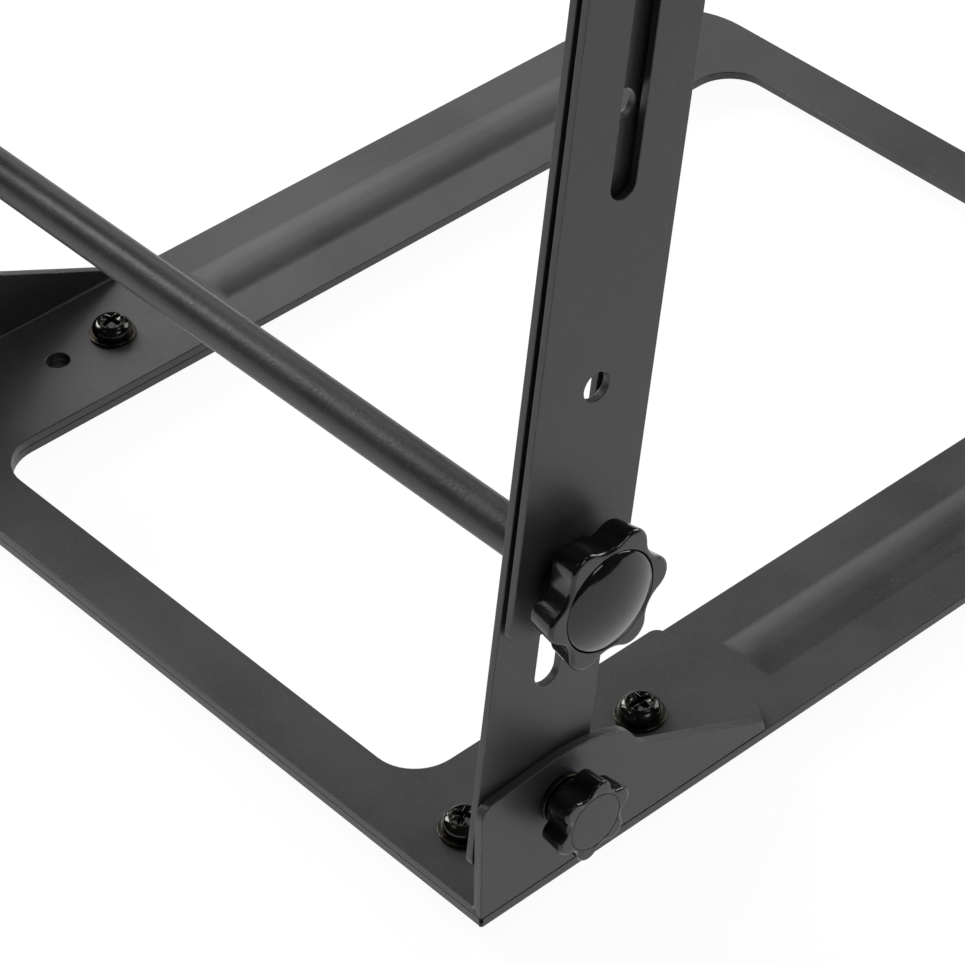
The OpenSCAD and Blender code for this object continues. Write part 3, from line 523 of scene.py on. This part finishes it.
# steps of the turned parts of a knob: (height from the face named, growth of the radius)
turnedSteps = {
    "hubFoot": [(0.0, -0.5), (0.15, -0.15), (0.5, 0.0)], "hubTop": [(-0.6, 0.0), (-0.2, 0.2), (0.0, 0.6)],
    "seat": [(0.0, 0.1), (-0.04, 0.02), (-0.12, 0.0), (-1.35, 0.0)], "capSide": [(-1.35, 0.0), (-0.25, 0.0)],
    "capFlat": [(-0.12, -0.02), (-0.03, -0.14), (0.0, -0.35), (0.0, -1.0)], "domeSteps": 17, "domeSunk": 0.02,
    "backEdge": 0.8,
}


def turned(steps, height, radius):
    return [(height + up, radius + out, 0) for up, out in turnedSteps[steps]]


def knobRings(knob):
    back = knob["hubLong"]
    face = back + knob["head"]
    return (turned("hubFoot", 0.0, knob["hub"]) + turned("hubTop", back, knob["hub"])
            + rounding(back, knob["draft"], knob["edge"] * turnedSteps["backEdge"], False)
            + rounding(face, 0.0, knob["edge"], True) + turned("seat", face, knob["seat"]))


def capRings(knob):
    face = knob["hubLong"] + knob["head"]
    cap, rise = knob["cap"], knob["rise"]
    rings = turned("capSide", face, cap)
    if not rise:
        return rings + turned("capFlat", face, cap)
    crown = (cap ** 2 + rise ** 2) / (2 * rise)
    slope = math.asin(cap / crown)
    for step in range(1, turnedSteps["domeSteps"]):
        a = slope * (1 - step / turnedSteps["domeSteps"])
        drop = crown - crown * math.cos(a) + turnedSteps["domeSunk"]
        rings.append((face + rise - drop, crown * math.sin(a), 0))
    return rings


armLean = 9.5


def knobPlacement(joint, seatX, turn):
    place = Matrix.Translation((seatX, pivots[joint].y, pivots[joint].z))
    tilt = Matrix.Rotation(math.radians(-armLean), 4, "X")
    return (place @ tilt @ Matrix.Rotation(math.radians(90), 4, "Y")
            @ Matrix.Rotation(math.radians(turn + 90), 4, "Z") @ Matrix.Scale(mm, 4))


def dressKnob(body, knob, turn, bodyNode, capNode):
    side = 1 if body.endswith("right") else -1
    low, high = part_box(bodyNode)
    seatX = low.x if side > 0 else -high.x
    star, cap = (knobRings(knob), bodyNode, knobPlastic), (capRings(knob), capNode, capPlastic)
    for rings, node, finish in (star, cap):
        bm = bmesh.new()
        stackRings(bm, rings, knob)
        bmesh.ops.transform(bm, matrix=knobPlacement(body + "_turn", seatX, turn), verts=bm.verts)
        if side < 0:
            bmesh.ops.transform(bm, matrix=Matrix.Scale(-1, 4, (1, 0, 0)), verts=bm.verts)
            bmesh.ops.recalc_face_normals(bm, faces=bm.faces)
        piece = pieceFrom(bm, node + "_moulded")
        settle(piece, body, slotOf[node], finish, node)
        evenShading(piece)


# how far each knob is turned, in degrees
knobTurns = {
    "lower_clamp_right": 7.5, "lower_clamp_left": 40.0, "upper_clamp_right": 22.0, "upper_clamp_left": 22.0,
    "base_knob_right": 23.5, "base_knob_left": 3.0, "tray_knob_right": 31.0, "tray_knob_left": 31.0,
}
for body, turn in knobTurns.items():
    level, kind, tail = body.split("_")
    if kind == "clamp":
        dressKnob(body, clampKnob, turn, f"{level}_clamp_knob_{tail}", f"{level}_clamp_cap_{tail}")
    else:
        dressKnob(body, pivotKnob, turn, f"{level}_knob_{tail}", f"{level}_knob_cap_{tail}")
print("knobs moulded:", len(knobTurns))

# pan head screws: a domed head with a cross recess
panScrew = {
    "head": 5.5, "high": 4.3, "round": 2.8, "around": 144, "crown": 14.0, "below": 0.55, "roundTurn": 76,
    "roundSteps": 8, "underside": [(0.0, -0.15), (0.12, 0.0)], "flat": 3.5,
    "wing": 3.0, "slot": 1.35, "deep": 2.1,
    "cross": [(0.16, 0.34, 0.0), (0.04, 0.1, 0.07), (-0.06, -0.06, 0.25)],
    "crossDraft": [(0.72, 0.85, 0.55), (0.45, 0.7, 1.0)],
    "shank": 3.0, "point": 0.5, "pointLong": 0.7, "shankAround": 40,
    "spins": (35, 80, 62, 8), "seatInset": 5.2,
}


def crossRadius(angle, wing, slot):
    turn = abs((angle + math.pi / 4) % (math.pi / 2) - math.pi / 4)
    if math.tan(turn) < slot / 2 / wing:
        return wing / math.cos(turn)
    return slot / 2 / math.sin(turn)


def panHead(bm, screw, spin):
    head, high, edge, crown = screw["head"], screw["high"], screw["round"], screw["crown"]
    shoulder = high - edge - screw["below"]
    rings = [(up, head + out) for up, out in screw["underside"]] + [(shoulder, head)]
    for step in range(1, screw["roundSteps"] + 1):
        a = math.radians(screw["roundTurn"]) * step / screw["roundSteps"]
        rings.append((shoulder + edge * math.sin(a), head - edge + edge * math.cos(a)))
    lastHigh, lastWide = rings[-1]

    def domeHeight(reach):
        return lastHigh + (lastWide ** 2 - reach ** 2) / (2 * crown)

    # the recess: its mouth is broken, and its walls narrow towards the floor
    wing, slot, deep = screw["wing"], screw["slot"], screw["deep"]
    recess = [(wing + w, slot + s, down) for w, s, down in screw["cross"]]
    recess += [(wing * w, slot * s, deep * down) for w, s, down in screw["crossDraft"]]
    steps = rings + [(domeHeight(screw["flat"]), screw["flat"])] + recess
    loop, angles, edges = firstRing(bm, screw["around"])
    first = edges
    for count, values in enumerate(steps):
        if count:
            loop, edges = nextRing(bm, edges)
        for vert, angle in zip(loop, angles):
            if len(values) == 2:
                height, reach = values
            else:
                reach = crossRadius(angle + math.radians(spin), values[0], values[1])
                height = domeHeight(reach) - values[2]
            vert.co = Vector((math.cos(angle) * reach, math.sin(angle) * reach, height))
    closeEnds(bm, first, edges)
    bmesh.ops.transform(bm, matrix=Matrix.Scale(mm, 4), verts=bm.verts)


# the shank below a head: a plain length and a chamfered point, depth in millimetres
def addShank(bm, screw, depth):
    wide, point, plain = screw["shank"], screw["pointLong"], depth - screw["pointLong"]
    tip, body = (wide - screw["point"], point, point / 2 - depth), (wide, plain, -plain / 2)
    for narrow, length, middle in (tip, body):
        made = bmesh.ops.create_cone(bm, cap_ends=True, segments=screw["shankAround"], radius1=narrow * mm,
                                     radius2=wide * mm, depth=length * mm)
        bmesh.ops.translate(bm, verts=made["verts"], vec=(0, 0, middle * mm))


def dressBaseScrews(screw):
    low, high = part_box("base_screws")
    inset = screw["seatInset"] * mm
    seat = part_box("base_washers")[1].z
    places = [(x, y) for x in (low.x + inset, high.x - inset) for y in (low.y + inset, high.y - inset)]
    for count, ((x, y), spin) in enumerate(zip(places, screw["spins"])):
        bm = bmesh.new()
        panHead(bm, screw, spin)
        addShank(bm, screw, (seat - low.z) / mm)
        bmesh.ops.translate(bm, verts=bm.verts, vec=(x, y, seat))
        piece = pieceFrom(bm, f"baseScrew{count + 1}")
        settle(piece, "base", "screws", screwPlate, *(["base_screws"] if count == 0 else []))
        evenShading(piece)


dressBaseScrews(panScrew)
print("screws made")


# floor and light
studio = {
    "floorColour": (0.8, 0.8, 0.8), "floorGlow": 0.95, "shadeColour": (0.09, 0.09, 0.09), "floorHalf": 30.0,
    "sky": 0.06, "aim": (0, 0, 0.1),
    "lamps": [
        {"name": "leftSoftbox", "place": (-1.32, -0.14, 0.8), "size": 0.8, "power": 27.0,
         "colour": (1.0, 1.0, 0.98)},
        {"name": "backSoftbox", "place": (-0.93, 0.8, 1.13), "size": 0.8, "power": 1.2,
         "colour": (1.0, 1.0, 0.98)},
        {"name": "farSoftbox", "place": (0.14, 1.32, 0.8), "size": 0.8, "power": 9.0,
         "colour": (1.0, 1.0, 1.0)},
        {"name": "backLeftSoftbox", "place": (-1.25, 0.75, 0.6), "size": 0.8, "power": 2.1,
         "colour": (1.0, 1.0, 0.98)},
        {"name": "leftLowSoftbox", "place": (-1.5, -0.1, 0.4), "size": 0.8, "power": 1.2,
         "colour": (1.0, 1.0, 0.98)},
        {"name": "rightSoftbox", "place": (1.26, 0.0, 1.08), "size": 0.5, "power": 2.6,
         "colour": (0.95, 0.97, 1.0)},
        {"name": "leftSpot", "place": (-0.43, -0.89, 1.36), "size": 0.3, "power": 0.8,
         "colour": (1.0, 1.0, 1.0)},
        {"name": "rightSpot", "place": (0.39, 0.55, 1.66), "size": 0.3, "power": 0.8,
         "colour": (1.0, 1.0, 1.0)},
    ],
}


def makeFloor(settings):
    bm = bmesh.new()
    bmesh.ops.create_grid(bm, x_segments=8, y_segments=8, size=settings["floorHalf"])
    floor = pieceFrom(bm, "studioFloor")
    finish = Finish("whiteFloor")
    # white to the camera and in reflections, a plain pale floor for everything else
    camera, glossy, through = (finish.add("ShaderNodeLightPath", {}, {}, ray) for ray in (
        "Is Camera Ray", "Is Glossy Ray", "Is Transmission Ray"))
    seen = camera.maths("MAXIMUM", camera.maths("MAXIMUM", camera, glossy), through)
    glow = finish.add("ShaderNodeEmission", {}, {"Color": (1, 1, 1), "Strength": settings["floorGlow"]})
    shade = finish.add("ShaderNodeBsdfDiffuse", {}, {"Color": settings["shadeColour"]})
    white = finish.add("ShaderNodeAddShader", {}, {0: glow, 1: shade})
    plain = finish.add("ShaderNodeBsdfDiffuse", {}, {"Color": settings["floorColour"]})
    surface = finish.add("ShaderNodeMixShader", {}, {0: seen, 1: plain, 2: white})
    finish.add("ShaderNodeOutputMaterial", {}, {"Surface": surface})
    floor.data.materials.append(finish.block)


def makeWorld(settings):
    finish = Finish("studioWhite", bpy.data.worlds)
    sky = finish.add("ShaderNodeBackground", {}, {"Color": (1, 1, 1), "Strength": settings["sky"]})
    finish.add("ShaderNodeOutputWorld", {}, {"Surface": sky})
    bpy.context.scene.world = finish.block


def makeLamps(settings):
    for lamp in settings["lamps"]:
        data = bpy.data.lights.new(lamp["name"], "AREA")
        data.shape = "SQUARE"
        data.size = lamp["size"]
        data.energy = lamp["power"]
        data.color = lamp["colour"]
        light = bpy.data.objects.new(lamp["name"], data)
        bpy.context.scene.collection.objects.link(light)
        light.location = lamp["place"]
        aim = Vector(settings["aim"]) - Vector(lamp["place"])
        light.rotation_euler = aim.to_track_quat("-Z", "Y").to_euler()


makeFloor(studio)
makeWorld(studio)
makeLamps(studio)
bpy.context.scene.view_settings.view_transform = "Standard"
print("studio lit")
